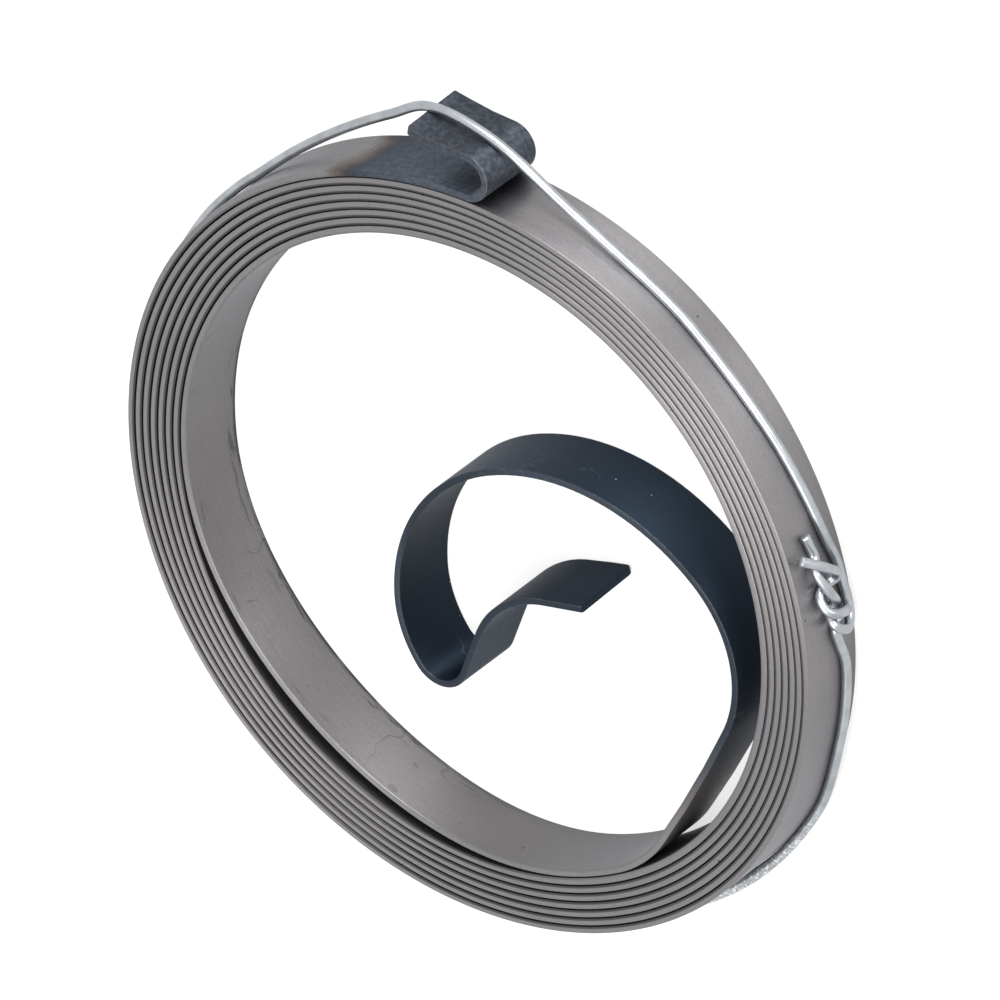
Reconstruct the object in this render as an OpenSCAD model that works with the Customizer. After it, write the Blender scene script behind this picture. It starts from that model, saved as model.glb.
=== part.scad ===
// Spiral power spring: a flat steel strip wound into a ring, with a hook bent at each end.
// A soft binding wire, twisted into a knot, holds the wound ring closed for storage.
// The coil's axis is +Z, and the strip stands on edge from z = 0 up to its width.

/* [Strip] */
// Width of the strip, along the coil's axis
strip_w = 7; // [5:0.5:10]
// Thickness of the strip
strip_t = 0.65; // [0.45:0.05:0.7]

/* [Coil] */
// Radius over the outermost turn, where the outer hook starts
coil_r = 37.07; // [34:0.1:40]
// Whole turns wound before the last, part turn
turns = 7; // [5:1:8]
// Clear gap between turns, as a mean round the coil
turn_gap = 0.13; // [0.1:0.01:0.25]
// How much the gap opens on the loose side and closes on the snug side
gap_lean = 0.07; // [0:0.01:0.08]
// Plan angle of the loose side
loose_side = 235; // [0:5:355]

/* [Slack turn] */
// How far the last turn bows in, away from the turn outside it
slack_bow = 1.28; // [0.4:0.02:2]
// Plan angle at which the bow starts
slack_from = 204; // [190:1:215]
// Plan angle at which the bow ends
slack_to = 312; // [300:1:316]

/* [Inner hook] */
// Plan angle at which the last turn peels off the coil
peel_at = 323; // [318:1:328]
// Bend radius where the strip peels off
peel_r = 13.3; // [12:0.1:16]
// Angle of that bend
peel_turn = 28.5; // [26:0.5:32]
// Bend radius of the almost straight flank after it
flank_r = 142; // [110:0.5:160]
// Angle of the flank's bend
flank_turn = 6.3; // [4:0.1:8]
// Bend radius of the shoulder, where the loop turns back over the middle
shoulder_r = 12.2; // [10:0.1:14]
// Angle of the shoulder's bend
shoulder_turn = 72.5; // [66:0.5:78]
// Bend radius of the crown of the loop
crown_r = 20.45; // [18:0.05:23]
// Angle of the crown's bend
crown_turn = 66; // [60:0.5:72]
// Bend radius of the loop's back
back_r = 17.3; // [15:0.1:19]
// Angle of the back's bend
back_turn = 67; // [60:0.5:74]
// Bend radius of the run down to the nose
throat_r = 11.1; // [9:0.1:13]
// Angle of that run
throat_turn = 35.5; // [30:0.5:40]
// Bend radius of the nose that catches the drum, at the middle of the strip
nose_r = 2.75; // [1.5:0.05:4]
// Angle of the nose's bend
nose_turn = 122.5; // [115:0.5:130]
// Straight length after the nose
shank_l = 5.1; // [3:0.05:7]
// Bend radius of the tongue, which sweeps the other way
tongue_r = 9.3; // [7:0.1:12]
// Angle of the tongue's bend
tongue_turn = 59; // [50:0.5:66]
// Straight length at the tongue's end
tongue_l = 4.65; // [3:0.05:6]
// Radius of the tongue's end corner on the lower edge
tongue_low_round = 0.6; // [0.1:0.05:1]
// Radius of the tongue's end corner on the upper edge
tongue_top_round = 0.2; // [0.1:0.05:1]

/* [Outer hook] */
// Plan angle at which the strip lifts off the outermost turn into the fold
fold_at = 110; // [100:1:120]
// Clear width inside the fold
fold_gap = 3.3; // [2.6:0.05:4.5]
// Angle through which the strip is folded back
fold_turn = 178; // [170:1:182]
// Straight length of the flap after the fold
flap_l = 4.7; // [3.5:0.1:6]
// Length of the flap's end that flares out
flare_l = 1.8; // [1:0.1:3]
// Angle of the flare
flare_turn = 8; // [0:1:15]
// Radius of the flap's end corner on the lower edge
flap_low_round = 0.15; // [0.1:0.05:1]
// Radius of the flap's end corner on the upper edge
flap_top_round = 0.5; // [0.1:0.05:1]

/* [Tie wire] */
// Diameter of the wire
wire_d = 0.9; // [0.7:0.05:1.1]
// Clear gap between the wire and what it lies on
wire_gap = 0.06; // [0.03:0.01:0.2]
// How far the stiff wire arches out between the flap and the coil
wire_arch = 0.9; // [0:0.1:2]
// Plan angle of the middle of the knot
knot_at = 33; // [28:0.5:36]

/* [Hidden] */
$fn = 48;

// Angle between the facets round the coil, and round the hooks
coil_step = 3;
bend_step = 6;

half_t = strip_t / 2;
// Angles counted on from turn to turn along the strip
peel_angle = 360 * turns + peel_at;
slack_start = 360 * turns + slack_from;
slack_end = 360 * turns + slack_to;

// Facets round the wire, and spans between two points of its route
wire_sides = 8;
wire_spans = 4;
// Direction in which the wire bears on the fold and on the flap's end
fold_bear = 96;
flap_bear = 120;

// Knot points are [along the turn, across the strip, out from the coil], in wire diameters.
// The upper run comes down beside the knot, doubles back and ends in the short tail.
upper_run = [
    [5.4, -2.1, 0.5], [3.1, -2.65, 0.5], [0.9, -2.8, 0.5], [-0.9, -3, 0.55],
    [-2.4, -2.75, 0.8], [-3.2, -2.05, 1.15], [-3.2, -0.95, 1.6], [-2.4, 0.15, 1.2],
    [-1.5, -0.1, 0.58], [-0.8, -0.6, 0.62], [-0.15, -0.6, 1.1], [0.95, 0.3, 1.6],
    [3.4, 1, 1], [4.9, 0.25, 0.55], [6.1, 0.45, 0.55], [7.2, 0.7, 0.6]
];
// The lower run comes up under it, winds round it and ends in the long tail.
lower_run = [
    [-7.4, -1.85, 0.5], [-4.9, -1, 0.5], [-3.5, -0.65, 0.5], [-2.6, -1.05, 0.52],
    [-2.1, -1.6, 0.7], [-1.7, -1.8, 1.15], [-1.4, -1.5, 1.62], [-1.2, -0.6, 1.85],
    [-0.95, 0.4, 1.65], [-0.4, 0.95, 1.15], [0.75, 0.9, 0.6], [1.45, 0.1, 0.5],
    [1.6, -0.85, 0.6], [1.9, -1.4, 1], [2.55, -1.3, 1.5], [3.2, -0.4, 1.85],
    [4.2, 1, 2.1], [5.2, 2.35, 1.6], [5.7, 3, 1.25]
];
// Rest of the route round the coil: [plan angle, rise, out in wire diameters].
// A rise is a share of the wire's room across the strip: 0 at the lower edge, 1 at the upper.
rise_route = [
    [47, 0.345, 0.5], [55, 0.42, 0.5], [63, 0.49, 0.5], [71, 0.515, 0.5], [77, 0.5, 0.5], [83, 0.5, 0.5]
];
fall_route = [
    [151, 0.5, 0.52], [157, 0.49, 0.5], [166, 0.485, 0.5], [180, 0.465, 0.5], [194, 0.445, 0.5],
    [208, 0.41, 0.5], [222, 0.37, 0.5], [236, 0.32, 0.5], [250, 0.27, 0.5], [264, 0.22, 0.5],
    [278, 0.17, 0.5], [292, 0.12, 0.5], [306, 0.08, 0.65], [320, 0.05, 0.8], [332, 0.03, 0.75],
    [342, 0.02, 0.6], [351, 0.02, 0.5], [356, 0.04, 0.5], [361, 0.14, 0.5], [366, 0.22, 0.5],
    [372, 0.24, 0.5], [378, 0.255, 0.5]
];
// Rise of the knot's middle, and of the wire where it bears on the fold and on the flap's end
knot_rise = 0.565;
fold_rise = 0.6;
flap_rise = 0.525;

// One bend or straight of a path: [length, turn]
function bend(r, turn) = [r * abs(turn) * PI / 180, turn];
function straight(l) = [l, 0];

// Place and heading [x, y, heading] after a share f of one bend or straight
function advance(p, s, f = 1) =
    let (turn = s[1] * f)
    let (run = s[0] * f)
    let (chord = turn == 0 ? run : run * sin(turn / 2) / (turn / 2 * PI / 180))
    [p.x + chord * cos(p.z + turn / 2), p.y + chord * sin(p.z + turn / 2), p.z + turn];

// Place and heading at the start of each piece of a path
function joints(start, pieces) =
    [for (i = 0, p = start; i < len(pieces); p = advance(p, pieces[i]), i = i + 1) p];

// Finely divided path along the pieces, without its starting point
function path(start, pieces) =
    let (at = joints(start, pieces))
    [
        for (i = [0:len(pieces) - 1])
        let (n = max(1, ceil(abs(pieces[i][1]) / bend_step)))
        for (k = [1:n]) advance(at[i], pieces[i], k / n)
    ];

function unit(v) = v / norm(v);
function reversed(list) = [for (i = [len(list) - 1:-1:0]) list[i]];
function last(list) = list[len(list) - 1];

// Step from turn to turn, and the radius over the strip at an angle counted along it
function pitch_at(a) = strip_t + turn_gap + gap_lean * cos(a - loose_side);
function outer_r(a) = coil_r - (a - fold_at) / 360 * pitch_at(a);
function slack_at(a) =
    a <= slack_start || a >= slack_end ? 0
    : slack_bow * pow(sin(180 * (a - slack_start) / (slack_end - slack_start)), 2);
function coil_point(a) =
    let (r = outer_r(a) - half_t - slack_at(a))
    [r * cos(a), r * sin(a), a + 90];

// Outer hook, walked out from the coil
fold_start = [coil_point(fold_at).x, coil_point(fold_at).y, fold_at - 90];
fold_r = fold_gap / 2 + half_t;
outer_hook = path(fold_start, [bend(fold_r, fold_turn), straight(flap_l), [flare_l, -flare_turn]]);
flap_end = last(outer_hook);

// Inner hook, walked in from the coil
inner_hook = path(coil_point(peel_angle), [
    bend(peel_r, peel_turn),
    bend(flank_r, flank_turn),
    bend(shoulder_r, shoulder_turn),
    bend(crown_r, crown_turn),
    bend(back_r, back_turn),
    bend(throat_r, throat_turn),
    bend(nose_r, nose_turn),
    straight(shank_l),
    bend(tongue_r, -tongue_turn),
    straight(tongue_l)
]);
tongue_end = last(inner_hook);

// Middle lines of the outer hook, the turns and the inner hook, which meet end to end
outer_line = concat([for (p = reversed(outer_hook)) [p.x, p.y, p.z + 180]], [coil_point(fold_at)]);
coil_line = concat(
    [for (a = [fold_at:coil_step:peel_angle - coil_step / 2]) coil_point(a)],
    [coil_point(peel_angle)]
);
inner_line = concat([coil_point(peel_angle)], inner_hook);

// Point of the strip's face, a distance to the left of its middle line
function beside(p, d) = [p.x - d * sin(p.z), p.y + d * cos(p.z)];

// Point [x, y, z] of the wire at a plan angle, a height and a distance out from the coil
function height(rise) = wire_d / 2 + rise * (strip_w - wire_d);
function one_turn(a) = fold_at + ((a - fold_at) % 360 + 360) % 360;
function on_coil(a, z, out) =
    let (r = outer_r(one_turn(a)) + wire_gap + out * wire_d)
    [r * cos(a), r * sin(a), z];
function knot_point(k) =
    on_coil(knot_at + k.x * wire_d / coil_r * 180 / PI, height(knot_rise) + k.y * wire_d, k.z);
function route(list) = [for (k = list) on_coil(k[0], height(k[1]), k[2])];

// Wire's middle where it bears on the fold and on the flap's end
wire_off = wire_gap + wire_d / 2;
fold_mid = advance([fold_start.x, fold_start.y, fold_start.z + 90], straight(fold_r));
fold_out = fold_r + half_t + wire_off;
over_fold = [
    fold_mid.x + fold_out * cos(fold_bear),
    fold_mid.y + fold_out * sin(fold_bear),
    height(fold_rise)
];
flap_corner = beside(flap_end, -half_t);
over_flap = [
    flap_corner.x + wire_off * cos(flap_bear),
    flap_corner.y + wire_off * sin(flap_bear),
    height(flap_rise)
];

// Control points of the wire from the short tail's end to the long tail's end.
// It runs straight from the coil up to the fold, and arches from the flap down to the coil.
rise = route(rise_route);
fall = route(fall_route);
arch_run = fall[0] - over_flap;
arch_out = unit([arch_run.y, -arch_run.x, 0]);
function arch(f) = over_flap + f * arch_run + 4 * f * (1 - f) * wire_arch * arch_out;
wire_route = concat(
    reversed([for (k = upper_run) knot_point(k)]),
    rise,
    [(last(rise) + over_fold) / 2],
    [over_fold, over_flap],
    [for (f = [0.2, 0.4, 0.6, 0.8]) arch(f)],
    fall,
    [for (k = lower_run) knot_point(k)]
);

// Smooth curve through the control points, with tangents weighted by the points' spacing
function spacing(a, b) = sqrt(norm(b - a));
function tangent(a, b, c) =
    let (d = spacing(a, b))
    let (e = spacing(b, c))
    (b - a) / d - (c - a) / (d + e) + (c - b) / e;
function blend(a, b, c, d, u) =
    let (m = tangent(a, b, c) * spacing(b, c))
    let (n = tangent(b, c, d) * spacing(b, c))
    b * (2 * u * u * u - 3 * u * u + 1) + m * (u * u * u - 2 * u * u + u)
    + c * (3 * u * u - 2 * u * u * u) + n * (u * u * u - u * u);
function curve(p) =
    let (q = concat([2 * p[0] - p[1]], p, [2 * last(p) - p[len(p) - 2]]))
    concat(
        [
            for (i = [1:len(p) - 1])
            for (k = [0:wire_spans - 1]) blend(q[i - 1], q[i], q[i + 1], q[i + 2], k / wire_spans)
        ],
        [last(p)]
    );
wire_line = curve(wire_route);

// Ring of points round the wire at one place of its middle line
function ring(p, heading) =
    let (out = unit([p.x, p.y, 0]))
    let (up = unit(out - heading * (out * heading)))
    let (side = cross(heading, up))
    [for (k = [0:wire_sides - 1])
        p + wire_d / 2 * (up * cos(360 * k / wire_sides) + side * sin(360 * k / wire_sides))];
function rings(line) = [
    for (i = [0:len(line) - 1])
    each ring(line[i], unit(line[min(i + 1, len(line) - 1)] - line[max(i - 1, 0)]))
];
function tube_faces(n) = concat(
    [[for (k = [0:wire_sides - 1]) k]],
    [
        for (i = [0:n - 2])
        for (k = [0:wire_sides - 1])
        let (a = i * wire_sides + k)
        let (b = i * wire_sides + (k + 1) % wire_sides)
        each [[a, a + wire_sides, b], [b, a + wire_sides, b + wire_sides]]
    ],
    [[for (k = [wire_sides - 1:-1:0]) (n - 1) * wire_sides + k]]
);

// What is cut away to round one corner of a strip end, with the end at the origin facing +X
module corner_cut(r) {
    spare = 1;
    rotate([90, 0, 0])
        linear_extrude(height = strip_t + 2 * spare, center = true)
            difference() {
                translate([-r, -spare])
                    square([r + spare, r + spare]);
                translate([-r, r])
                    circle(r = r);
            }
}

// Both corners of the strip end at a place and heading
module end_cuts(p, low_r, top_r) {
    translate([p.x, p.y, 0])
        rotate(p.z) {
            corner_cut(low_r);
            translate([0, 0, strip_w])
                mirror([0, 0, 1])
                    corner_cut(top_r);
        }
}

// Strip of the full width along a middle line
module strip(line) {
    linear_extrude(height = strip_w)
        polygon(concat(
            [for (p = line) beside(p, half_t)],
            [for (p = reversed(line)) beside(p, -half_t)]
        ));
}

// The wound turns, from the fold to where the last turn peels off
module spring_strip() {
    color([0.56, 0.55, 0.54])
        strip(coil_line);
}

module outer_hook() {
    color([0.27, 0.28, 0.31])
        difference() {
            strip(outer_line);
            end_cuts(flap_end, flap_low_round, flap_top_round);
        }
}

module inner_hook() {
    color([0.16, 0.18, 0.21])
        difference() {
            strip(inner_line);
            end_cuts(tongue_end, tongue_low_round, tongue_top_round);
        }
}

module tie_wire() {
    color([0.76, 0.79, 0.81])
        polyhedron(points = rings(wire_line), faces = tube_faces(len(wire_line)), convexity = 8);
}

spring_strip();
outer_hook();
inner_hook();
tie_wire();
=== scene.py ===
"""Dressed model of a spiral power spring.

A flat steel strip is wound into a ring, with a heat-blued hook at each end, and a zinc-coated
binding wire ties it closed. Sizes are in millimetres and become metres as a mesh is made.
"""
import logging
import math
from dataclasses import dataclass
from enum import Enum
from typing import Callable, Sequence

import bmesh
import bpy
from mathutils import Euler, Matrix, Vector


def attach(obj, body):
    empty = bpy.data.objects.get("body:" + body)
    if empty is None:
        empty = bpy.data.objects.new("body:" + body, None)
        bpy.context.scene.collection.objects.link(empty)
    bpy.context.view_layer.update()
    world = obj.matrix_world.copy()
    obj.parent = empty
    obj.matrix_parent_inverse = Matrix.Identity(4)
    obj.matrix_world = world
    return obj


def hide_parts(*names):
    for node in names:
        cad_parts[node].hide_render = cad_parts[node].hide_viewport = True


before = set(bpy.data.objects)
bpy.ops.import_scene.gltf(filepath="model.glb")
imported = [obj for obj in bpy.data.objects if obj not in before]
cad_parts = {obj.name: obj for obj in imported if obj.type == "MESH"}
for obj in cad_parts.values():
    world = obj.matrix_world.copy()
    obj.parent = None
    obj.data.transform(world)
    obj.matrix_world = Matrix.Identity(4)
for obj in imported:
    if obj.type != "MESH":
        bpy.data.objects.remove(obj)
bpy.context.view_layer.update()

LOG = logging.getLogger("spring")
MM = 0.001
Colour = tuple[float, float, float]
Step = tuple[float, float]


class Body(Enum):
    """Bodies of the frame that pieces ride on."""

    ROOT = "root"


class Node(Enum):
    """Solids of the frame that the dressed pieces stand for."""

    TURNS = "spring_strip"
    OUTER_HOOK = "outer_hook"
    INNER_HOOK = "inner_hook"
    WIRE = "tie_wire"


class Slot(Enum):
    """Material slots of the record."""

    STEEL = "spring_steel"
    ZINC = "zinc_wire"


class Layer(Enum):
    """Values kept at each vertex for the materials to read."""

    RUN = "run"
    ACROSS = "across"


@dataclass(frozen=True)
class Grain:
    """A noise.

    Attributes:
        scale: waves in one unit of what it follows.
        detail: octaves.
        rough: weight of the fine octaves.
    """

    scale: float
    detail: float = 2.0
    rough: float = 0.5


@dataclass(frozen=True)
class Spots:
    """Small round spots, one to a cell.

    Attributes:
        scale: cells in one unit of what they follow.
        size: radius of a spot, in cells.
        share: share of cells that hold a spot.
    """

    scale: float
    size: float
    share: float

    # Share of the radius that is fully in the spot, and how sharply cells are chosen.
    CORE = 0.6
    PICK = 0.01


class Sock:
    """A shader socket that can be used in sums: each operator adds one Math node."""

    def __init__(self, shader: "Shader", socket: bpy.types.NodeSocket) -> None:
        """Keep the material's node maker and the output socket.

        Args:
            shader: node maker of the material that the socket is in.
            socket: output socket to wrap.
        """
        self.shader = shader
        self.socket = socket

    def _math(self, operation: str, first: object, second: object) -> "Sock":
        """Result of one Math node on two values, each a number or a socket."""
        return self.shader.node("ShaderNodeMath", {"operation": operation}, {0: first, 1: second})

    def __add__(self, other: object) -> "Sock":
        """Sum of both."""
        return self._math("ADD", self, other)

    __radd__ = __add__

    def __sub__(self, other: object) -> "Sock":
        """This less the other."""
        return self._math("SUBTRACT", self, other)

    def __rsub__(self, other: object) -> "Sock":
        """The other less this."""
        return self._math("SUBTRACT", other, self)

    def __mul__(self, other: object) -> "Sock":
        """Product of both."""
        return self._math("MULTIPLY", self, other)

    __rmul__ = __mul__

    def __abs__(self) -> "Sock":
        """Size of this without its sign."""
        return self._math("ABSOLUTE", self, 0.0)

    def over(self, low: float, high: float) -> "Sock":
        """Smooth step of this value.

        Args:
            low: value at which the step starts.
            high: value at which it is whole; lower than low for a falling step.

        Returns:
            A value from 0 to 1.
        """
        ends = {"Value": self, "From Min": low, "From Max": high}
        return self.shader.node("ShaderNodeMapRange", {"interpolation_type": "SMOOTHSTEP"}, ends)

    def most(self, other: object) -> "Sock":
        """The greater of both."""
        return self._math("MAXIMUM", self, other)

    def swing(self, amount: float) -> "Sock":
        """Factor that swings about 1, by an amount in all, as this goes from 0 to 1."""
        return (1 - amount / 2) + amount * self

    def raised(self, least: float) -> "Sock":
        """This value from 0 to 1, raised to start at a least value."""
        return least + (1 - least) * self


class Shader:
    """Maker of the nodes of one material, or of the world."""

    def __init__(self, owner: bpy.types.Material | bpy.types.World) -> None:
        """Empty the owner's node tree.

        Args:
            owner: material or world to make nodes for.
        """
        self.owner = owner
        owner.use_nodes = True
        self.tree = owner.node_tree
        self.tree.nodes.clear()

    def node(self, kind: str, settings: dict[str, object], sockets: dict[object, object],
             out: object = 0) -> Sock:
        """Add one node.

        Args:
            kind: the node's type name.
            settings: the node's own settings; "stops" holds a ramp's places and colours.
            sockets: values or links of its inputs, by name or number.
            out: name or number of the output to return.

        Returns:
            The chosen output.
        """
        made = self.tree.nodes.new(kind)
        for key, value in settings.items():
            if key == "stops":
                self._ramp(made.color_ramp, value)
            else:
                setattr(made, key, value)
        for key, value in sockets.items():
            self.feed(made.inputs[key], value)
        return Sock(self, made.outputs[out])

    def feed(self, target: bpy.types.NodeSocket, value: object) -> None:
        """Link a socket, or set its own value.

        Args:
            target: input socket.
            value: a Sock, a number or a colour.
        """
        if isinstance(value, Sock):
            self.tree.links.new(value.socket, target)
        elif target.type == "RGBA" and len(value) == 3:
            target.default_value = (*value, 1.0)
        else:
            target.default_value = value

    @staticmethod
    def _ramp(ramp: bpy.types.ColorRamp, stops: Sequence[tuple[float, Colour]]) -> None:
        """Set a ramp's stops.

        Args:
            ramp: the ramp to set.
            stops: places from 0 to 1 with their colours.
        """
        while len(ramp.elements) < len(stops):
            ramp.elements.new(0.5)
        for element, (place, colour) in zip(ramp.elements, stops):
            element.position = place
            element.color = (*colour, 1.0)

    def value(self, layer: Layer) -> Sock:
        """A value kept at the vertices."""
        return self.node("ShaderNodeAttribute", {"attribute_name": layer.value}, {}, "Fac")

    def place(self) -> Sock:
        """Object coordinates in millimetres, as a vector."""
        raw = self.node("ShaderNodeTexCoord", {}, {}, "Object")
        return self.node("ShaderNodeVectorMath", {"operation": "SCALE"}, {0: raw, "Scale": 1 / MM})

    def vector(self, x: object, y: object, z: object) -> Sock:
        """A vector from three values."""
        return self.node("ShaderNodeCombineXYZ", {}, {0: x, 1: y, 2: z})

    def noise(self, where: Sock, grain: Grain) -> Sock:
        """Smooth noise from 0 to 1.

        Args:
            where: vector that the noise follows.
            grain: its scale and octaves.

        Returns:
            The noise's value.
        """
        ends = {"Vector": where, "Scale": grain.scale, "Detail": grain.detail,
                "Roughness": grain.rough}
        return self.node("ShaderNodeTexNoise", {}, ends, "Fac")

    def specks(self, where: Sock, spots: Spots) -> Sock:
        """Small round spots scattered over the surface.

        Args:
            where: vector that the spots follow.
            spots: their size and number.

        Returns:
            1 in a spot, else 0.
        """
        cell = {"Vector": where, "Scale": spots.scale, "Randomness": 1.0}
        far = self.node("ShaderNodeTexVoronoi", {}, cell, "Distance")
        tint = self.node("ShaderNodeTexVoronoi", {}, cell, "Color")
        chance = self.node("ShaderNodeSeparateColor", {}, {0: tint}, 0)
        inside = far.over(spots.size, spots.CORE * spots.size)
        return inside * chance.over(spots.share, spots.share - spots.PICK)

    def mix(self, share: object, first: object, second: object, blend: str = "MIX") -> Sock:
        """Blend two colours.

        Args:
            share: how much of the second colour.
            first: colour or socket.
            second: colour or socket.
            blend: name of the blend.

        Returns:
            The blended colour.
        """
        settings = {"data_type": "RGBA", "blend_type": blend, "clamp_factor": True}
        return self.node("ShaderNodeMix", settings, {0: share, 6: first, 7: second}, 2)

    def bump(self, height: Sock, strength: float, depth: float) -> Sock:
        """A bumped normal.

        Args:
            height: height from 0 to 1.
            strength: weight of the bump.
            depth: height of 1, in metres.

        Returns:
            The normal.
        """
        ends = {"Height": height, "Strength": strength, "Distance": depth}
        return self.node("ShaderNodeBump", {}, ends)

    def rays(self) -> list[Sock]:
        """Whether a ray comes from the camera, off a gloss, or through clear matter.

        Returns:
            Three values, each 1 or 0.
        """
        path = self.tree.nodes.new("ShaderNodeLightPath")
        kinds = ("Is Camera Ray", "Is Glossy Ray", "Is Transmission Ray")
        return [Sock(self, path.outputs[kind]) for kind in kinds]

    def finish(self, surface: Sock) -> bpy.types.Material | bpy.types.World:
        """Link the surface to an output node.

        Args:
            surface: shader of the surface.

        Returns:
            The finished material or world.
        """
        is_world = isinstance(self.owner, bpy.types.World)
        kind = "ShaderNodeOutputWorld" if is_world else "ShaderNodeOutputMaterial"
        self.feed(self.tree.nodes.new(kind).inputs["Surface"], surface)
        return self.owner


@dataclass(frozen=True)
class StripPlace:
    """Where on the strip a shaded point lies, as sockets.

    Attributes:
        run: distance along the strip from the outer end.
        across: place across the thickness, from -1 on the outer face to 1 on the inner face.
        high: height above the lower edge.
        spot: place in millimetres.
    """

    run: Sock
    across: Sock
    high: Sock
    spot: Sock


@dataclass(frozen=True)
class SteelFinish:
    """Rolled spring steel, bare along the turns and blued by heat at both hooks.

    Lengths are in millimetres. A Step holds where a smooth step starts and where it is whole.

    Attributes:
        length: length of the strip.
        width: width of the strip.
        outer_black: colour of the outer hook.
        inner_black: colour of the inner hook.
        worn: colour where the blued skin is rubbed.
        oil_and_shade: colour of oil, pits and scars, and of the painted shade between the turns.
        dust: colour of dust.
        tint: colour of the gloss at a low angle.
        outer_band: run over which the outer hook comes to full heat.
        inner_band: distances from the inner end over which that hook does.
        band_wander: how far both bands wander.
        opening: distances from the inner end over which the inner face comes out from under
            the turns.
        roughness: roughness of bare steel.
        brushed: how far the gloss is drawn out by the rolling marks.
        brushed_turn: direction of that gloss, as a share of a whole turn.
    """

    length: float
    width: float
    outer_black: Colour = (0.073, 0.087, 0.115)
    inner_black: Colour = (0.0185, 0.0300, 0.0475)
    worn: Colour = (0.16, 0.16, 0.165)
    oil_and_shade: Colour = (0.050, 0.046, 0.045)
    dust: Colour = (0.60, 0.60, 0.58)
    tint: Colour = (0.93, 0.965, 1.0)
    outer_band: Step = (33.0, 19.0)
    inner_band: Step = (116.5, 87.0)
    band_wander: float = 9.0
    opening: Step = (326.0, 308.0)
    roughness: float = 0.40
    brushed: float = 0.80
    brushed_turn: float = 0.25

    # Heats and their colours: bare steel up to the second, then straw, purple and blue.
    TEMPER = (
        (0.0, (0.268, 0.259, 0.267)), (0.34, (0.268, 0.259, 0.267)),
        (0.50, (0.176, 0.146, 0.128)), (0.60, (0.092, 0.070, 0.068)),
        (0.72, (0.045, 0.052, 0.070)),
    )
    # Waves in a millimetre along the strip, up its width, and from face to face.
    LINE_SCALE = (0.02, 6.0, 7.0)
    PATCH_SCALE = (0.22, 1.4)
    LINES = Grain(1.0, 3.0, 0.55)
    PATCH = Grain(1.0, 5.0, 0.65)
    CLOUD = Grain(0.12)
    MOTTLE = Grain(2.6, 3.0, 0.6)
    SPECKLE = Grain(4.5, 3.0, 0.7)
    SCALE = Grain(1.9, 4.0, 0.70)
    HAIR = Grain(0.30, 1.0)
    LARGE_PITS = Spots(0.55, 0.09, 0.10)
    SMALL_PITS = Spots(1.3, 0.10, 0.10)
    SCARS = Spots(2.4, 0.16, 0.16)
    MOTES = Spots(0.9, 0.085, 0.07)
    # Steps over the place across the thickness, and over the run.
    INNER_FACE = (0.2, 0.6)
    SCUFFED_FACE = (-0.2, 0.6)
    SCUFFED_RUN = (17.0, 11.0)
    FLAP_RUN = (9.0, 5.0)
    PAST_HOOK = (30.0, 50.0)
    # Distances from the inner end over which oil fades out before the inner hook.
    OIL_END = (120.0, 150.0)

    def from_end(self, step: Step) -> list[float]:
        """A step by distances from the inner end, as a step over the run."""
        return [self.length - distance for distance in step]

    def heat(self, run: Sock, cloud: Sock) -> tuple[Sock, Sock]:
        """How far each hook was heated, from 0 for bare to 1 for blue-black.

        Args:
            run: distance along the strip.
            cloud: noise that makes the bands uneven.

        Returns:
            Heat of the outer hook and of the inner hook.
        """
        shifted = run + (cloud - 0.5) * self.band_wander
        return shifted.over(*self.outer_band), shifted.over(*self.from_end(self.inner_band))

    def tempered(self, heat: Sock, black: Colour) -> Sock:
        """Colour of steel by its heat from 0 to 1, with the colour of fully blued steel."""
        stops = [*self.TEMPER, (1.0, black)]
        return heat.shader.node("ShaderNodeValToRGB", {"stops": stops}, {0: heat}, "Color")

    def material(self) -> bpy.types.Material:
        """Make the steel.

        Returns:
            The material.
        """
        paint = Shader(bpy.data.materials.new(Slot.STEEL.value))
        spot = paint.place()
        high = paint.node("ShaderNodeSeparateXYZ", {}, {0: spot}, "Z")
        at = StripPlace(paint.value(Layer.RUN), paint.value(Layer.ACROSS), high, spot)
        cloud = paint.noise(spot, self.CLOUD)
        mottle = paint.noise(spot, self.MOTTLE)
        speckle = paint.noise(spot, self.SPECKLE)
        scale = paint.noise(spot, self.SCALE).over(0.34, 0.68)
        outer, inner = self.heat(at.run, cloud)
        blued = outer.most(inner)
        along, up, through = self.LINE_SCALE
        marks = paint.vector(at.run * along, at.high * up, at.across * through)
        lines = (paint.noise(marks, self.LINES) - 0.5) * (1 - 0.7 * blued)

        tone_and_shade = (1 + 0.22 * lines) * cloud.swing(0.20) * mottle.swing(0.14) * speckle.swing(0.36)
        # Painted shade: the inner faces are darkened, standing in for the shaded inside of the ring
        # that they face.
        tone_and_shade = tone_and_shade * (1 - 0.16 * at.across.over(*self.INNER_FACE))
        tone_and_shade = tone_and_shade * (1 + outer * (0.6 * scale - 0.30))
        tone_and_shade = tone_and_shade * (1 - 0.22 * at.run.over(*self.FLAP_RUN))

        colour = paint.mix(inner, self.tempered(outer, self.outer_black),
                           self.tempered(inner, self.inner_black))
        scuffed = at.run.over(*self.SCUFFED_RUN) * at.across.over(*self.SCUFFED_FACE)
        colour = paint.mix(0.26 * (scuffed * scale.raised(0.35)), colour, self.worn)
        colour = paint.mix(1.0, colour, paint.vector(tone_and_shade, tone_and_shade, tone_and_shade), "MULTIPLY")
        colour = self.wear(colour, at, mottle, blued)
        thread = abs(paint.noise(spot, self.HAIR) - 0.5).over(0.012, 0.005)
        hairs = thread * cloud.over(0.58, 0.63)
        colour = self.oiled_and_shaded(colour, at, hairs)
        colour = self.pitted(colour, spot, outer, blued)
        motes = paint.specks(spot, self.MOTES)
        colour = paint.mix((0.6 * motes).most(0.05 * hairs) * blued, colour, self.dust)

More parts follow.
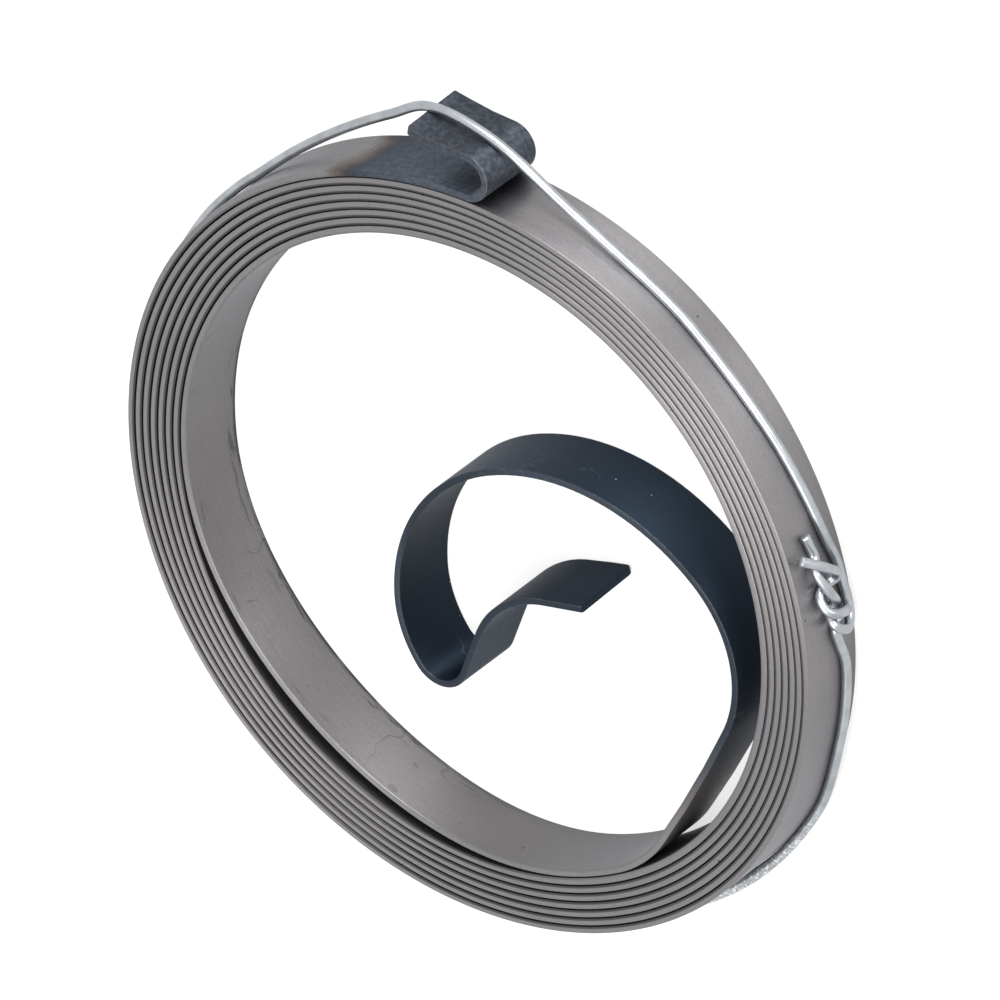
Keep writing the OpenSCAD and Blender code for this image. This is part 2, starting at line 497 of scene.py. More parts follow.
        rough = self.roughness + 0.10 * lines + 0.10 * (mottle - 0.5) + 0.04 * blued
        relief = 0.8 * lines + 0.2 * mottle
        surface = paint.node("ShaderNodeBsdfPrincipled", {}, {
            "Base Color": colour, "Metallic": 1 - 0.15 * blued, "Roughness": rough,
            "Anisotropic": self.brushed, "Anisotropic Rotation": self.brushed_turn,
            "Specular Tint": self.tint, "Normal": paint.bump(relief, 0.25, 0.05 * MM)})
        return paint.finish(surface)

    def wear(self, colour: Sock, at: StripPlace, mottle: Sock, blued: Sock) -> Sock:
        """Lighten the rims of the blued hooks, where the skin is rubbed off.

        Args:
            colour: colour so far.
            at: place on the strip.
            mottle: noise that breaks the wear up.
            blued: how far the steel is blued.

        Returns:
            The colour with its worn rims.
        """
        paint = colour.shader
        middle = self.width / 2
        off_middle = abs(at.high - middle)
        edge = off_middle.over(middle - 0.10, middle - 0.02) * blued
        colour = paint.mix(0.10 * edge, colour, self.worn)
        near_edge = off_middle.over(middle - 0.22, middle - 0.06)
        near_face = abs(at.across).over(0.60, 0.95)
        rim = near_edge * near_face * blued * mottle.over(0.40, 0.62).raised(0.35)
        return paint.mix(0.22 * rim, colour, self.worn)

    def oiled_and_shaded(self, colour: Sock, at: StripPlace, hairs: Sock) -> Sock:
        """Add oil on the last turn's inner face, and painted shade on the inner faces between the
        turns.

        Args:
            colour: colour so far.
            at: place on the strip.
            hairs: thin lines that show as dark marks in the oil.

        Returns:
            The colour with its oil and its painted shade.
        """
        paint = colour.shader
        inside = at.across.over(*self.INNER_FACE)
        veiled, bared = self.from_end(self.opening)
        # Painted shade: the inner faces hidden between the turns, past the outer hook, are darkened
        # to the oil colour.
        between_turns_shade = inside * at.run.over(bared, veiled) * at.run.over(*self.PAST_HOOK)
        before_hook = at.run.over(*self.from_end(self.OIL_END))
        open_face = inside * at.run.over(veiled, bared) * before_hook
        along, up = self.PATCH_SCALE
        patch = paint.noise(paint.vector(at.run * along, at.high * up, 0.0), self.PATCH)
        line = at.high.over(0.60, 0.15) * patch.over(0.34, 0.47)
        blots = at.high.over(2.0, 0.3) * patch.over(0.54, 0.62)
        smear = at.high.over(3.5, 6.8) * patch.over(0.58, 0.68)
        film = open_face * (0.85 * line.most(blots) + 0.35 * smear + 0.45 * hairs)
        return paint.mix(film.most(0.8 * between_turns_shade), colour, self.oil_and_shade)

    def pitted(self, colour: Sock, spot: Sock, outer: Sock, blued: Sock) -> Sock:
        """Add dark pits on bare steel and scars on the outer hook.

        Args:
            colour: colour so far.
            spot: place in millimetres.
            outer: how far the outer hook is blued.
            blued: how far the steel is blued.

        Returns:
            The colour with its pits.
        """
        paint = colour.shader
        pits = paint.specks(spot, self.LARGE_PITS) + paint.specks(spot, self.SMALL_PITS)
        scars = paint.specks(spot, self.SCARS) * outer
        return paint.mix(0.7 * pits * (1 - blued) + 0.55 * scars, colour, self.oil_and_shade)


@dataclass(frozen=True)
class ZincFinish:
    """Galvanised soft wire: bright, with a faintly grainy skin that is crusted along one stretch.

    Attributes:
        crust_span: runs along the wire between which it is crusted.
        crust_fade: length over which it comes and goes.
        bright: colour of clean zinc.
        dull: colour of dull zinc.
        flecked: colour of the crust's flecks.
        roughness: mean roughness.
    """

    crust_span: Step
    crust_fade: float = 6.0
    bright: Colour = (0.48, 0.51, 0.54)
    dull: Colour = (0.35, 0.375, 0.40)
    flecked: Colour = (0.80, 0.83, 0.84)
    roughness: float = 0.33

    CLOUD = Grain(0.5, 3.0, 0.6)
    GRIT = Grain(7.0, 3.0, 0.65)
    FLECK = Grain(3.2)

    def material(self) -> bpy.types.Material:
        """Make the zinc.

        Returns:
            The material.
        """
        paint = Shader(bpy.data.materials.new(Slot.ZINC.value))
        run = paint.value(Layer.RUN)
        spot = paint.place()
        cloud = paint.noise(spot, self.CLOUD)
        grit = paint.noise(spot, self.GRIT)
        fleck = paint.noise(spot, self.FLECK)
        first, last = self.crust_span
        starts = run.over(first, first + self.crust_fade)
        crust = starts * run.over(last, last - self.crust_fade)
        colour = paint.mix(cloud.over(0.3, 0.75), self.bright, self.dull)
        colour = paint.mix(crust * fleck.over(0.5, 0.62), colour, self.flecked)
        rough = self.roughness + 0.2 * (grit - 0.5) + 0.12 * (cloud - 0.5)
        relief = 0.12 * grit + crust * fleck
        surface = paint.node("ShaderNodeBsdfPrincipled", {}, {
            "Base Color": colour, "Metallic": 1.0, "Roughness": rough,
            "Normal": paint.bump(relief, 0.30, 0.08 * MM)})
        return paint.finish(surface)


@dataclass(frozen=True)
class FloorFinish:
    """White table: it keeps a faint shadow and reads as white to the camera.

    Attributes:
        colour: colour of the table.
        lift: glow that takes it to white for the camera.
        plain: glow that the metal shows all round.
    """

    colour: Colour = (0.42, 0.42, 0.42)
    lift: float = 0.64
    plain: float = 0.32

    def material(self) -> bpy.types.Material:
        """Make the floor.

        Returns:
            The material.
        """
        paint = Shader(bpy.data.materials.new("white_table"))
        seen, mirrored, through = paint.rays()
        level = self.lift * seen + self.plain * mirrored.most(through)
        glow = paint.node("ShaderNodeEmission", {}, {"Color": (1.0, 1.0, 1.0), "Strength": level})
        plain = paint.node("ShaderNodeBsdfDiffuse", {}, {"Color": self.colour})
        return paint.finish(paint.node("ShaderNodeAddShader", {}, {0: plain, 1: glow}))


def polar(angle: float, radius: float) -> tuple[float, float]:
    """Plan point at an angle in degrees and a radius."""
    aim = math.radians(angle)
    return radius * math.cos(aim), radius * math.sin(aim)


def hump(value: float, span: Step) -> float:
    """Smooth hump, from 0 to 1 and back, as a value goes through a span."""
    share = (value - span[0]) / (span[1] - span[0])
    return math.sin(math.pi * share) ** 2 if 0 < share < 1 else 0.0


@dataclass(frozen=True)
class Station:
    """One place of a sweep: where the section stands, its own axes and its size.

    Attributes:
        place: middle of the section, in millimetres.
        side: direction of the section's first axis.
        up: direction of its second axis.
        run: distance along the sweep.
        spread: scale of the section along its two axes.
    """

    place: Vector
    side: Vector
    up: Vector
    run: float
    spread: tuple[float, float] = (1.0, 1.0)

    def matrix(self) -> Matrix:
        """Matrix that stands the flat section here, in metres.

        Returns:
            The matrix.
        """
        ahead = self.side.cross(self.up).normalized()
        first = self.side * self.spread[0]
        second = self.up * self.spread[1]
        turn = Matrix((first, second, ahead)).transposed().to_4x4()
        return Matrix.Translation(self.place * MM) @ turn


class Sweep:
    """A closed solid made by extruding a flat section from station to station."""

    BLOCK = 40
    WELD = 2e-6
    SHARP = 50.0
    WEIGHT = 90

    def __init__(self, name: str, section: Callable[[bmesh.types.BMesh], None]) -> None:
        """Keep the piece's name and how its section is drawn.

        Args:
            name: name of the piece.
            section: draws the section, one face in the XY plane, in metres.
        """
        self.name = name
        self.section = section

    def build(self, stations: Sequence[Station]) -> bpy.types.Object:
        """Extrude the section along the stations, in short blocks that are welded together.

        Args:
            stations: places of the section, in order.

        Returns:
            The new object, at the origin.
        """
        whole = bmesh.new()
        last = len(stations) - 1
        for start in range(0, last, self.BLOCK):
            stop = min(start + self.BLOCK, last)
            block = self._block(stations[start:stop + 1], start == 0, stop == last)
            mesh = bpy.data.meshes.new("block")
            block.to_mesh(mesh)
            block.free()
            whole.from_mesh(mesh)
            bpy.data.meshes.remove(mesh)
        bmesh.ops.remove_doubles(whole, verts=whole.verts, dist=self.WELD)
        bmesh.ops.recalc_face_normals(whole, faces=whole.faces)
        return self._object(whole)

    def _block(self, stations: Sequence[Station], first: bool, last: bool) -> bmesh.types.BMesh:
        """Extrude the section along one block of stations.

        Args:
            stations: places of the section, in order.
            first: whether the block has the sweep's first end.
            last: whether it has the last end.

        Returns:
            The block's mesh, open where the next block joins it.
        """
        bm = bmesh.new()
        self.section(bm)
        runs = bm.verts.layers.float.new(Layer.RUN.value)
        sides = bm.verts.layers.float.new(Layer.ACROSS.value)
        reach = max(v.co.x for v in bm.verts)
        for v in bm.verts:
            v[sides] = v.co.x / reach
            v[runs] = stations[0].run
        here = stations[0].matrix()
        bmesh.ops.transform(bm, matrix=here, verts=bm.verts)
        start = bm.faces[:]
        front = start
        for station in stations[1:]:
            region = front + [e for f in front for e in f.edges]
            made = bmesh.ops.extrude_face_region(
                bm, geom=region, use_keep_orig=front is start)["geom"]
            ring = [g for g in made if isinstance(g, bmesh.types.BMVert)]
            front = [g for g in made if isinstance(g, bmesh.types.BMFace)]
            there = station.matrix()
            bmesh.ops.transform(bm, matrix=there @ here.inverted(), verts=ring)
            for v in ring:
                v[runs] = station.run
            here = there
        spare = ([] if first else start) + ([] if last else front)
        bmesh.ops.delete(bm, geom=spare, context="FACES_ONLY")
        return bm

    def _object(self, bm: bmesh.types.BMesh) -> bpy.types.Object:
        """Turn the mesh into a smooth object.

        Args:
            bm: finished mesh, which is freed.

        Returns:
            The object, with weighted normals.
        """
        mesh = bpy.data.meshes.new(self.name)
        bm.to_mesh(mesh)
        bm.free()
        mesh.shade_smooth()
        mesh.set_sharp_from_angle(angle=math.radians(self.SHARP))
        piece = bpy.data.objects.new(self.name, mesh)
        bpy.context.scene.collection.objects.link(piece)
        even = piece.modifiers.new("even_normals", "WEIGHTED_NORMAL")
        even.keep_sharp = True
        even.weight = self.WEIGHT
        return piece


@dataclass(frozen=True)
class Bend:
    """A bend or straight of the strip's line: its length and the angle it turns, in degrees."""

    length: float
    turn: float = 0.0

    @classmethod
    def arc(cls, radius: float, turn: float) -> "Bend":
        """A bend of a given radius."""
        return cls(radius * math.radians(abs(turn)), turn)


@dataclass(frozen=True)
class Mark:
    """A place on a plan line and its heading in degrees."""

    x: float
    y: float
    heading: float

    def after(self, bend: Bend, share: float = 1.0) -> "Mark":
        """Where the line is after a share of a bend.

        Args:
            bend: the bend that starts here.
            share: how much of it is walked.

        Returns:
            The new mark.
        """
        half = math.radians(bend.turn * share / 2)
        chord = bend.length * share * (math.sin(half) / half if half else 1.0)
        aim = math.radians(self.heading) + half
        return Mark(self.x + chord * math.cos(aim), self.y + chord * math.sin(aim),
                    self.heading + bend.turn * share)

    def beside(self, offset: float) -> tuple[float, float]:
        """Point a distance to the left of this mark."""
        aim = math.radians(self.heading)
        return self.x - offset * math.sin(aim), self.y + offset * math.cos(aim)


@dataclass
class SpringStrip:
    """The wound strip with its two hooks.

    Attributes:
        width: width of the strip.
        thick: thickness of the strip.
        flap_rounds: radii of the flap's end corners, on the lower and the upper edge.
        tongue_rounds: radii of the tongue's end corners, on the lower and the upper edge.
        rim: radius of its rolled long edges.
        coil_r: radius over the outermost turn, at the fold.
        turns: whole turns before the last, part turn.
        turn_gap: mean clear gap between turns.
        gap_lean: how much the gap changes round the coil.
        loose_side: plan angle where the gap is widest.
        slack_bow: how far the last turn bows in.
        slack_span: plan angles between which it does.
        peel_at: plan angle where the inner hook leaves the coil.
        fold_at: plan angle where the outer hook leaves the coil.
        fold_gap: clear width inside the fold.
        fold_turn: angle of the fold.
        flap: straight length of the flap.
        flare: length of the flap's flared end.
        flare_turn: angle of the flare.
        coil_step: angle between sections round the coil.
        bend_step: longest angle between sections round a bend.
        flap_lean: angle by which the flap's lower edge leans out at its end.
        flap_lean_length: length over which the flap comes to that lean.
        tongue_lean: angle by which the tongue's lower edge leans out at its end.
        tongue_lean_length: length over which the tongue comes to that lean.
        tongue_skew: how far the lower corner of its cut end stands ahead of the upper one.
        rim_facets: facets round each rolled edge.
    """

    width: float = 7.0
    thick: float = 0.65
    flap_rounds: tuple[float, float] = (0.15, 0.5)
    tongue_rounds: tuple[float, float] = (0.6, 0.2)
    rim: float = 0.07
    coil_r: float = 37.07
    turns: int = 7
    turn_gap: float = 0.13
    gap_lean: float = 0.07
    loose_side: float = 235.0
    slack_bow: float = 1.28
    slack_span: Step = (204.0, 312.0)
    peel_at: float = 323.0
    fold_at: float = 110.0
    fold_gap: float = 3.3
    fold_turn: float = 178.0
    flap: float = 4.7
    flare: float = 1.8
    flare_turn: float = 8.0
    coil_step: float = 1.5
    bend_step: float = 3.0
    flap_lean: float = 3.3
    flap_lean_length: float = 5.0
    tongue_lean: float = 6.0
    tongue_lean_length: float = 11.0
    tongue_skew: float = 0.65
    rim_facets: int = 3

    # Angles at which sections follow a rounded end corner.
    END_ANGLES = (0, 12, 25, 38, 50, 62, 76, 90)

    def inner_bends(self) -> list[Bend]:
        """Bends of the inner hook, from the coil to the tongue's end.

        Returns:
            The bends in order.
        """
        peel = Bend.arc(13.3, 28.5)
        flank = Bend.arc(142.0, 6.3)
        shoulder = Bend.arc(12.2, 72.5)
        crown = Bend.arc(20.45, 66.0)
        back = Bend.arc(17.3, 67.0)
        throat = Bend.arc(11.1, 35.5)
        nose = Bend.arc(2.75, 122.5)
        shank = Bend(5.1)
        tongue = Bend.arc(9.3, -59.0)
        tip = Bend(4.3)
        return [peel, flank, shoulder, crown, back, throat, nose, shank, tongue, tip]

    def outer_r(self, angle: float) -> float:
        """Radius over the strip at an angle counted on from turn to turn."""
        lean = self.gap_lean * math.cos(math.radians(angle - self.loose_side))
        return self.coil_r - (angle - self.fold_at) / 360 * (self.thick + self.turn_gap + lean)

    def slack(self, angle: float) -> float:
        """How far the strip bows in at an angle counted on from turn to turn."""
        return self.slack_bow * hump(angle - 360 * self.turns, self.slack_span)

    def on_coil(self, angle: float) -> Mark:
        """Mark on the strip's middle line within the coil."""
        radius = self.outer_r(angle) - self.thick / 2 - self.slack(angle)
        return Mark(*polar(angle, radius), angle + 90)

    def walk(self, start: Mark, bends: Sequence[Bend]) -> list[Mark]:
        """Divide a row of bends finely.

        Args:
            start: where the first bend starts; it isn't in the list.
            bends: bends in order.

        Returns:
            Marks along the bends.
        """
        marks = []
        for bend in bends:
            count = max(2, math.ceil(abs(bend.turn) / self.bend_step))
            marks += [start.after(bend, k / count) for k in range(1, count + 1)]
            start = marks[-1]
        return marks

    def fold_start(self) -> Mark:
        """Where the outer hook leaves the coil, headed out along it."""
        mark = self.on_coil(self.fold_at)
        return Mark(mark.x, mark.y, self.fold_at - 90)

    def outer_hook(self) -> list[Mark]:
        """Walk the outer hook.

        Returns:
            Marks from the coil to the flap's end.
        """
        fold = Bend.arc((self.fold_gap + self.thick) / 2, self.fold_turn)
        bends = [fold, Bend(self.flap), Bend(self.flare, -self.flare_turn)]
        return self.walk(self.fold_start(), bends)

    def line(self) -> list[Mark]:
        """Walk the whole strip.

        Returns:
            Marks from the flap's end to the tongue's end.
        """
        last = 360 * self.turns + self.peel_at
        wound = last - self.fold_at
        count = round(wound / self.coil_step)
        coil = [self.on_coil(self.fold_at + wound * k / count) for k in range(count + 1)]
        hook = [Mark(m.x, m.y, m.heading + 180) for m in reversed(self.outer_hook())]
        return hook + coil + self.walk(coil[-1], self.inner_bends())

    @staticmethod
    def end_inset(distance: float, radius: float) -> float:
        """How much the width loses on one edge, a distance from a cut end."""
        short = max(0.0, radius - distance)
        return radius - math.sqrt(max(0.0, radius ** 2 - short ** 2))

    def stations(self) -> list[Station]:
        """Sections along the strip, with its end corners rounded.

        Returns:
            The stations in order.
        """
        marks = self.line()
        runs = [0.0]
        for a, b in zip(marks, marks[1:]):
            runs.append(runs[-1] + math.hypot(b.x - a.x, b.y - a.y))
        total = runs[-1]
        reach = max(*self.flap_rounds, *self.tongue_rounds)
        steps = [reach * (1 - math.cos(math.radians(k))) for k in self.END_ANGLES]
        first = [(marks[0].after(Bend(d)), d) for d in steps]
        final = [(marks[-1].after(Bend(-d)), total - d) for d in reversed(steps)]
        inner = [(m, r) for m, r in zip(marks, runs) if reach < r < total - reach]
        return [self.station(mark, run, total) for mark, run in first + inner + final]

    def station(self, mark: Mark, run: float, total: float) -> Station:
        """One section of the strip.

        Args:
            mark: place and heading of the strip's middle line.
            run: distance along the strip.
            total: length of the strip.

        Returns:
            The section's station.
        """
        left = total - run
        low, top = self.flap_rounds if run < left else self.tongue_rounds
        low = self.end_inset(min(run, left), low)
        top = self.end_inset(min(run, left), top)
        flap = self.ease(1 - run / self.flap_lean_length)
        tongue = self.ease(1 - left / self.tongue_lean_length)
        lean = math.radians(self.flap_lean * flap + self.tongue_lean * tongue)
        ahead = Vector((*polar(mark.heading, 1.0), 0.0))
        side = Vector((-ahead.y, ahead.x, 0.0))
        out = side * math.sin(lean) + ahead * (tongue * self.tongue_skew / self.width)
        half = (self.width + top - low) / 2
        middle = Vector((mark.x, mark.y, self.width - half)) + out * half
        up = Vector((0.0, 0.0, math.cos(lean))) - out
        flat = side * math.cos(lean) + Vector((0.0, 0.0, math.sin(lean)))
        kept = self.width - low - top - self.thick * math.sin(lean)
        return Station(middle, flat, up, run, (1.0, kept / self.width))

    @staticmethod
    def ease(share: float) -> float:
        """Smooth step from 0 to 1."""
        share = min(1.0, max(0.0, share))
        return share * share * (3 - 2 * share)

    def section(self, bm: bmesh.types.BMesh) -> None:
        """Draw the strip's flat section with rounded corners.

        Args:
            bm: empty mesh to draw in.
        """
        bmesh.ops.create_grid(bm, x_segments=1, y_segments=1, size=0.5)
        bmesh.ops.scale(bm, vec=(self.thick * MM, self.width * MM, 1.0), verts=bm.verts)
        bmesh.ops.bevel(bm, geom=bm.verts[:], offset=self.rim * MM, affect="VERTICES",
                        segments=self.rim_facets, profile=0.5, material=-1)

    def build(self) -> bpy.types.Object:
        """Make and dress the strip.

        Returns:
            The strip's object.
        """
        stations = self.stations()
        piece = Sweep("wound_strip", self.section).build(stations)
        piece.data.materials.append(SteelFinish(stations[-1].run, self.width).material())
        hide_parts(Node.TURNS.value, Node.OUTER_HOOK.value, Node.INNER_HOOK.value)
        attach(piece, Body.ROOT.value)
        return piece


# Knot points are (along the turn, across the strip, out from the coil), in wire diameters.
UPPER_RUN = [
    (5.4, -2.1, 0.5), (3.1, -2.65, 0.5), (0.9, -2.8, 0.5), (-0.9, -3, 0.55),
    (-2.4, -2.75, 0.8), (-3.2, -2.05, 1.15), (-3.2, -0.95, 1.6), (-2.4, 0.15, 1.2),
    (-1.5, -0.1, 0.58), (-0.8, -0.6, 0.62), (-0.15, -0.6, 1.1), (0.95, 0.3, 1.6),
    (3.4, 1, 1), (4.9, 0.25, 0.55), (6.1, 0.45, 0.55), (7.2, 0.7, 0.6),
]
LOWER_RUN = [
    (-7.4, -1.85, 0.5), (-4.9, -1, 0.5), (-3.5, -0.65, 0.5), (-2.6, -1.05, 0.52),
    (-2.1, -1.6, 0.7), (-1.7, -1.8, 1.15), (-1.4, -1.5, 1.62), (-1.2, -0.6, 1.85),
    (-0.95, 0.4, 1.65), (-0.4, 0.95, 1.15), (0.75, 0.9, 0.6), (1.45, 0.1, 0.5),
    (1.6, -0.85, 0.6), (1.9, -1.4, 1), (2.55, -1.3, 1.5), (3.2, -0.4, 1.85),
    (4.2, 1, 2.1), (5.2, 2.35, 1.6), (5.7, 3, 1.25),
]
# Points round the coil are (plan angle, rise, out from the coil in wire diameters).
# A rise is a share of the wire's room across the strip.
RISE_ROUTE = [
    (47, 0.345, 0.5), (55, 0.42, 0.5), (63, 0.49, 0.5), (71, 0.515, 0.5), (77, 0.5, 0.5),
    (83, 0.5, 0.5),
]
FALL_ROUTE = [
    (151, 0.5, 0.52), (157, 0.49, 0.5), (166, 0.485, 0.52), (180, 0.465, 0.52), (194, 0.445, 0.5),
    (208, 0.41, 0.5), (222, 0.37, 0.5), (236, 0.32, 0.5), (250, 0.27, 0.5), (264, 0.22, 0.5),
    (278, 0.17, 0.5), (292, 0.12, 0.5), (306, 0.08, 0.6), (320, 0.05, 0.7), (332, 0.03, 0.65),
    (342, 0.02, 0.55), (351, 0.02, 0.5), (356, 0.04, 0.5), (361, 0.14, 0.5), (366, 0.22, 0.5),
    (372, 0.24, 0.5), (378, 0.255, 0.5),
]


@dataclass
class TieWire:
    """The binding wire with its twisted knot.

    Attributes:
        strip: the strip that it ties.
        diameter: diameter of the wire.
        gap: clear gap between the wire and what it lies on.
        arch: how far it arches out between the flap and the coil.
        knot_at: plan angle of the middle of the knot.
        knot_rise: rise of the middle of the knot.
        fold_bear: direction in which it bears on the fold.
        flap_bear: direction in which it bears on the flap's end.
        fold_rise: its rise at the fold.
        flap_rise: its rise at the flap's end.
        crust: share by which crusted zinc thickens it.
        crust_span: plan angles between which it does.
        fleck_x: least x of the crust's flecks, which spread beyond the thickened part.
        fleck_y: greatest y of the flecks.
        pinch: scale of the section at both cut ends, out from the coil and across that.
        spans: sections between two points of its route.
        sides: facets round it.
    """

    strip: SpringStrip
    diameter: float = 0.9
    gap: float = 0.034
    arch: float = 0.9
    knot_at: float = 33.0
    knot_rise: float = 0.565
    fold_bear: float = 96.0
    flap_bear: float = 120.0
    fold_rise: float = 0.6
    flap_rise: float = 0.525
    crust: float = 0.3
    crust_span: Step = (296.0, 352.0)
    fleck_x: float = 8.0
    fleck_y: float = -1.0
    pinch: tuple[float, float] = (0.72, 0.95)
    spans: int = 9
    sides: int = 16

    # Shares of the arched stretch at which it has points.
    ARCH_SHARES = (0.2, 0.4, 0.6, 0.8)

    def height(self, rise: float) -> float:
        """Height of the wire's middle at a share of its room across the strip."""
        return self.diameter / 2 + rise * (self.strip.width - self.diameter)

    def on_coil(self, angle: float, height: float, out: float) -> Vector:
        """Point over the coil's outer face.

        Args:
            angle: plan angle.
            height: height above the lower edge.
            out: distance out from the coil, in wire diameters.

        Returns:
            The point.
        """
        fold_at = self.strip.fold_at
        face = self.strip.outer_r(fold_at + (angle - fold_at) % 360)
        radius = face + self.gap + out * self.diameter
        return Vector((*polar(angle, radius), height))

    def knot_point(self, along: float, across: float, out: float) -> Vector:
        """Point of the knot from its distances in wire diameters."""
        angle = self.knot_at + math.degrees(along * self.diameter / self.strip.coil_r)
        return self.on_coil(angle, self.height(self.knot_rise) + across * self.diameter, out)

    def over_hook(self) -> tuple[Vector, Vector]:
        """Where the wire bears on the fold and on the flap's end.

        Returns:
            Both points.
        """
        off = self.gap + self.diameter / 2
        start = self.strip.fold_start()
        radius = (self.strip.fold_gap + self.strip.thick) / 2
        mid = Mark(start.x, start.y, start.heading + 90).after(Bend(radius))
        fold = Mark(mid.x, mid.y, self.fold_bear).after(Bend(radius + self.strip.thick / 2 + off))
        corner = self.strip.outer_hook()[-1].beside(-self.strip.thick / 2)
        flap = Mark(*corner, self.flap_bear).after(Bend(off))
        return (Vector((fold.x, fold.y, self.height(self.fold_rise))),
                Vector((flap.x, flap.y, self.height(self.flap_rise))))

    def route(self) -> list[Vector]:
        """Points of the wire from the short tail's end to the long tail's end.

        Returns:
            The points in order.
        """
        rise, fall = ([self.on_coil(angle, self.height(share), out) for angle, share, out in keys]
                      for keys in (RISE_ROUTE, FALL_ROUTE))
        over_fold, over_flap = self.over_hook()
        run = fall[0] - over_flap
        out = Vector((run.y, -run.x, 0.0)).normalized()
        arched = [over_flap + f * run + 4 * f * (1 - f) * self.arch * out
                  for f in self.ARCH_SHARES]
        upper = [self.knot_point(*key) for key in reversed(UPPER_RUN)]
        lower = [self.knot_point(*key) for key in LOWER_RUN]
        hook = [(rise[-1] + over_fold) / 2, over_fold, over_flap]
        return upper + rise + hook + arched + fall + lower

    def curve(self) -> list[Vector]:
        """Smooth line through the route's points, with tangents weighted by their spacing.

        Returns:
            Points along the line.
        """
        keys = self.route()
        keys = [2 * keys[0] - keys[1], *keys, 2 * keys[-1] - keys[-2]]
        line = []
        for a, b, c, d in zip(keys, keys[1:], keys[2:], keys[3:]):
            before, step, after = (math.sqrt((q - p).length) for p, q in ((a, b), (b, c), (c, d)))
            leave = ((b - a) / before - (c - a) / (before + step) + (c - b) / step) * step
            reach = ((c - b) / step - (d - b) / (step + after) + (d - c) / after) * step
            for k in range(self.spans):
                u = k / self.spans
                line.append(b * (2 * u ** 3 - 3 * u ** 2 + 1) + leave * (u ** 3 - 2 * u ** 2 + u)
                            + c * (3 * u ** 2 - 2 * u ** 3) + reach * (u ** 3 - u ** 2))
        return [*line, keys[-2]]

    def stations(self) -> list[Station]:
        """Sections along the wire, with both cut ends pinched.

        Returns:
            The stations in order.
        """
        line = self.curve()
        found = []
        run = 0.0
        for k, point in enumerate(line):
            run += (point - line[k - 1]).length if k else 0.0
            ahead = (line[min(k + 1, len(line) - 1)] - line[max(k - 1, 0)]).normalized()
            out = Vector((point.x, point.y, 0.0))
            side = (out - ahead * out.dot(ahead)).normalized()
            swell = self.swell(point)
            spread = self.pinch if k in (0, len(line) - 1) else (swell, swell)
            found.append(Station(point, side, ahead.cross(side), run, spread))
        return found

    def swell(self, point: Vector) -> float:
        """Scale of the section at a point, for the crust of zinc."""
        angle = math.degrees(math.atan2(point.y, point.x)) % 360
        return 1 + self.crust * hump(angle, self.crust_span)

    def section(self, bm: bmesh.types.BMesh) -> None:
        """Draw the wire's round section."""
        bmesh.ops.create_circle(bm, cap_ends=True, segments=self.sides,
                                radius=self.diameter / 2 * MM)

    def build(self) -> bpy.types.Object:
        """Make and dress the wire.

        Returns:
            The wire's object.
        """
        stations = self.stations()
        piece = Sweep("binding_wire", self.section).build(stations)
        crusted = [s.run for s in stations if s.place.x > self.fleck_x and s.place.y < self.fleck_y]
        piece.data.materials.append(ZincFinish((min(crusted), max(crusted))).material())
        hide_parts(Node.WIRE.value)
        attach(piece, Body.ROOT.value)
        return piece


@dataclass(frozen=True)
class Lamp:
    """One soft round lamp aimed at the part, in metres and watts."""

    name: str
    place: tuple[float, float, float]
    size: float
    power: float
    colour: Colour = (1.0, 1.0, 1.0)


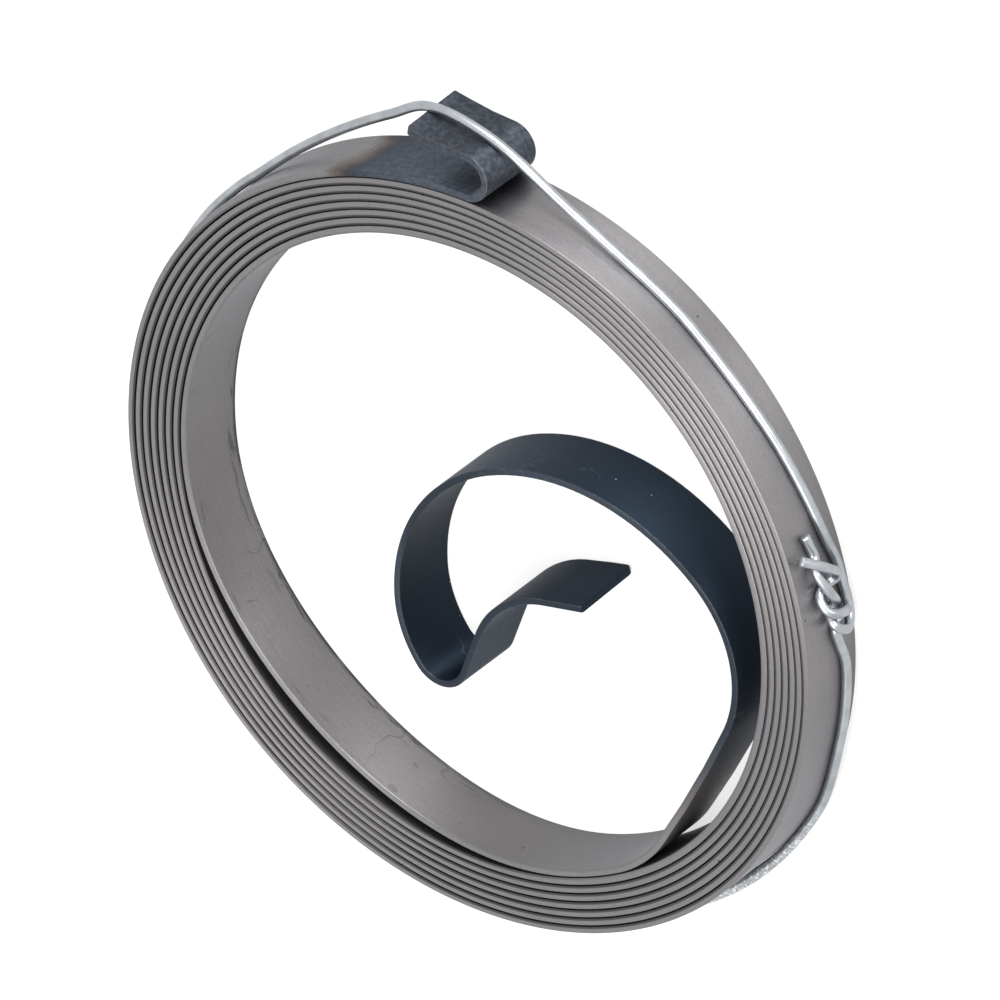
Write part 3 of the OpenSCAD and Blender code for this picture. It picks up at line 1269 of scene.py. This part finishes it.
@dataclass
class Studio:
    """White table, soft light and the camera.

    Attributes:
        aim: point that the camera looks at, in millimetres.
        azimuth: plan angle of the camera, in degrees.
        elevation: angle of the camera above the table.
        roll: turn of the camera about its own axis.
        distance: distance of the camera from its aim, in millimetres.
        lens: focal length, in millimetres.
        sensor: width of the sensor, in millimetres.
        sight: how far the camera sees, in metres.
        table: half width of the table, in metres.
        sky: brightness of the surroundings as they light the part.
        lamps: lamps in order.
    """

    aim: tuple[float, float, float] = (-0.443, 4.724, 3.5)
    azimuth: float = 67.998
    elevation: float = 42.119
    roll: float = -126.448
    distance: float = 1209.36
    lens: float = 504.0
    sensor: float = 36.0
    sight: float = 20.0
    table: float = 3.0
    sky: float = 0.80
    lamps: tuple[Lamp, ...] = (
        Lamp("key_lamp", (0.205, 0.077, 0.893), 0.80, 6.5, (1.0, 0.96, 0.91)),
        Lamp("front_card", (-0.208, 0.835, 0.265), 0.50, 7.0),
        Lamp("side_card", (0.437, 0.756, 0.218), 0.40, 3.0),
    )

    def camera(self) -> bpy.types.Object:
        """Make the camera.

        Returns:
            The camera's object.
        """
        data = bpy.data.cameras.new("camera")
        data.lens = self.lens
        data.sensor_width = self.sensor
        data.clip_end = self.sight
        eye = bpy.data.objects.new("camera", data)
        side = math.radians(self.azimuth)
        tilt = math.radians(self.elevation)
        level = math.cos(tilt)
        back = Vector((level * math.cos(side), level * math.sin(side), math.sin(tilt)))
        turn = back.to_track_quat("Z", "Y").to_matrix()
        roll = Euler((0.0, 0.0, math.radians(self.roll))).to_matrix()
        place = (Vector(self.aim) + back * self.distance) * MM
        eye.matrix_world = Matrix.Translation(place) @ (turn @ roll).to_4x4()
        bpy.context.scene.collection.objects.link(eye)
        bpy.context.scene.camera = eye
        return eye

    def floor(self) -> bpy.types.Object:
        """Make the table top.

        Returns:
            The table's object.
        """
        bm = bmesh.new()
        bmesh.ops.create_grid(bm, x_segments=1, y_segments=1, size=self.table)
        mesh = bpy.data.meshes.new("table")
        bm.to_mesh(mesh)
        bm.free()
        top = bpy.data.objects.new("table", mesh)
        bpy.context.scene.collection.objects.link(top)
        mesh.materials.append(FloorFinish().material())
        return top

    def light(self) -> None:
        """Make the lamps and the white surroundings."""
        for lamp in self.lamps:
            data = bpy.data.lights.new(lamp.name, "AREA")
            data.shape = "DISK"
            data.size = lamp.size
            data.energy = lamp.power
            data.color = lamp.colour
            body = bpy.data.objects.new(lamp.name, data)
            place = Vector(lamp.place)
            turn = place.to_track_quat("Z", "Y").to_matrix().to_4x4()
            body.matrix_world = Matrix.Translation(place) @ turn
            bpy.context.scene.collection.objects.link(body)
        world = Shader(bpy.data.worlds.new("white_room"))
        seen, mirrored, through = world.rays()
        level = seen.most(mirrored).most(through).raised(self.sky)
        white = {"Color": (1.0, 1.0, 1.0), "Strength": level}
        bpy.context.scene.world = world.finish(world.node("ShaderNodeBackground", {}, white))


def main() -> None:
    """Build the pieces in order, then the studio."""
    logging.basicConfig(level=logging.INFO)
    bpy.context.scene.view_settings.view_transform = "Standard"
    strip = SpringStrip()
    for piece in (strip.build(), TieWire(strip).build()):
        LOG.info("%s: %d faces", piece.name, len(piece.data.polygons))
    studio = Studio()
    studio.camera()
    studio.floor()
    studio.light()


if __name__ == "__main__":
    main()
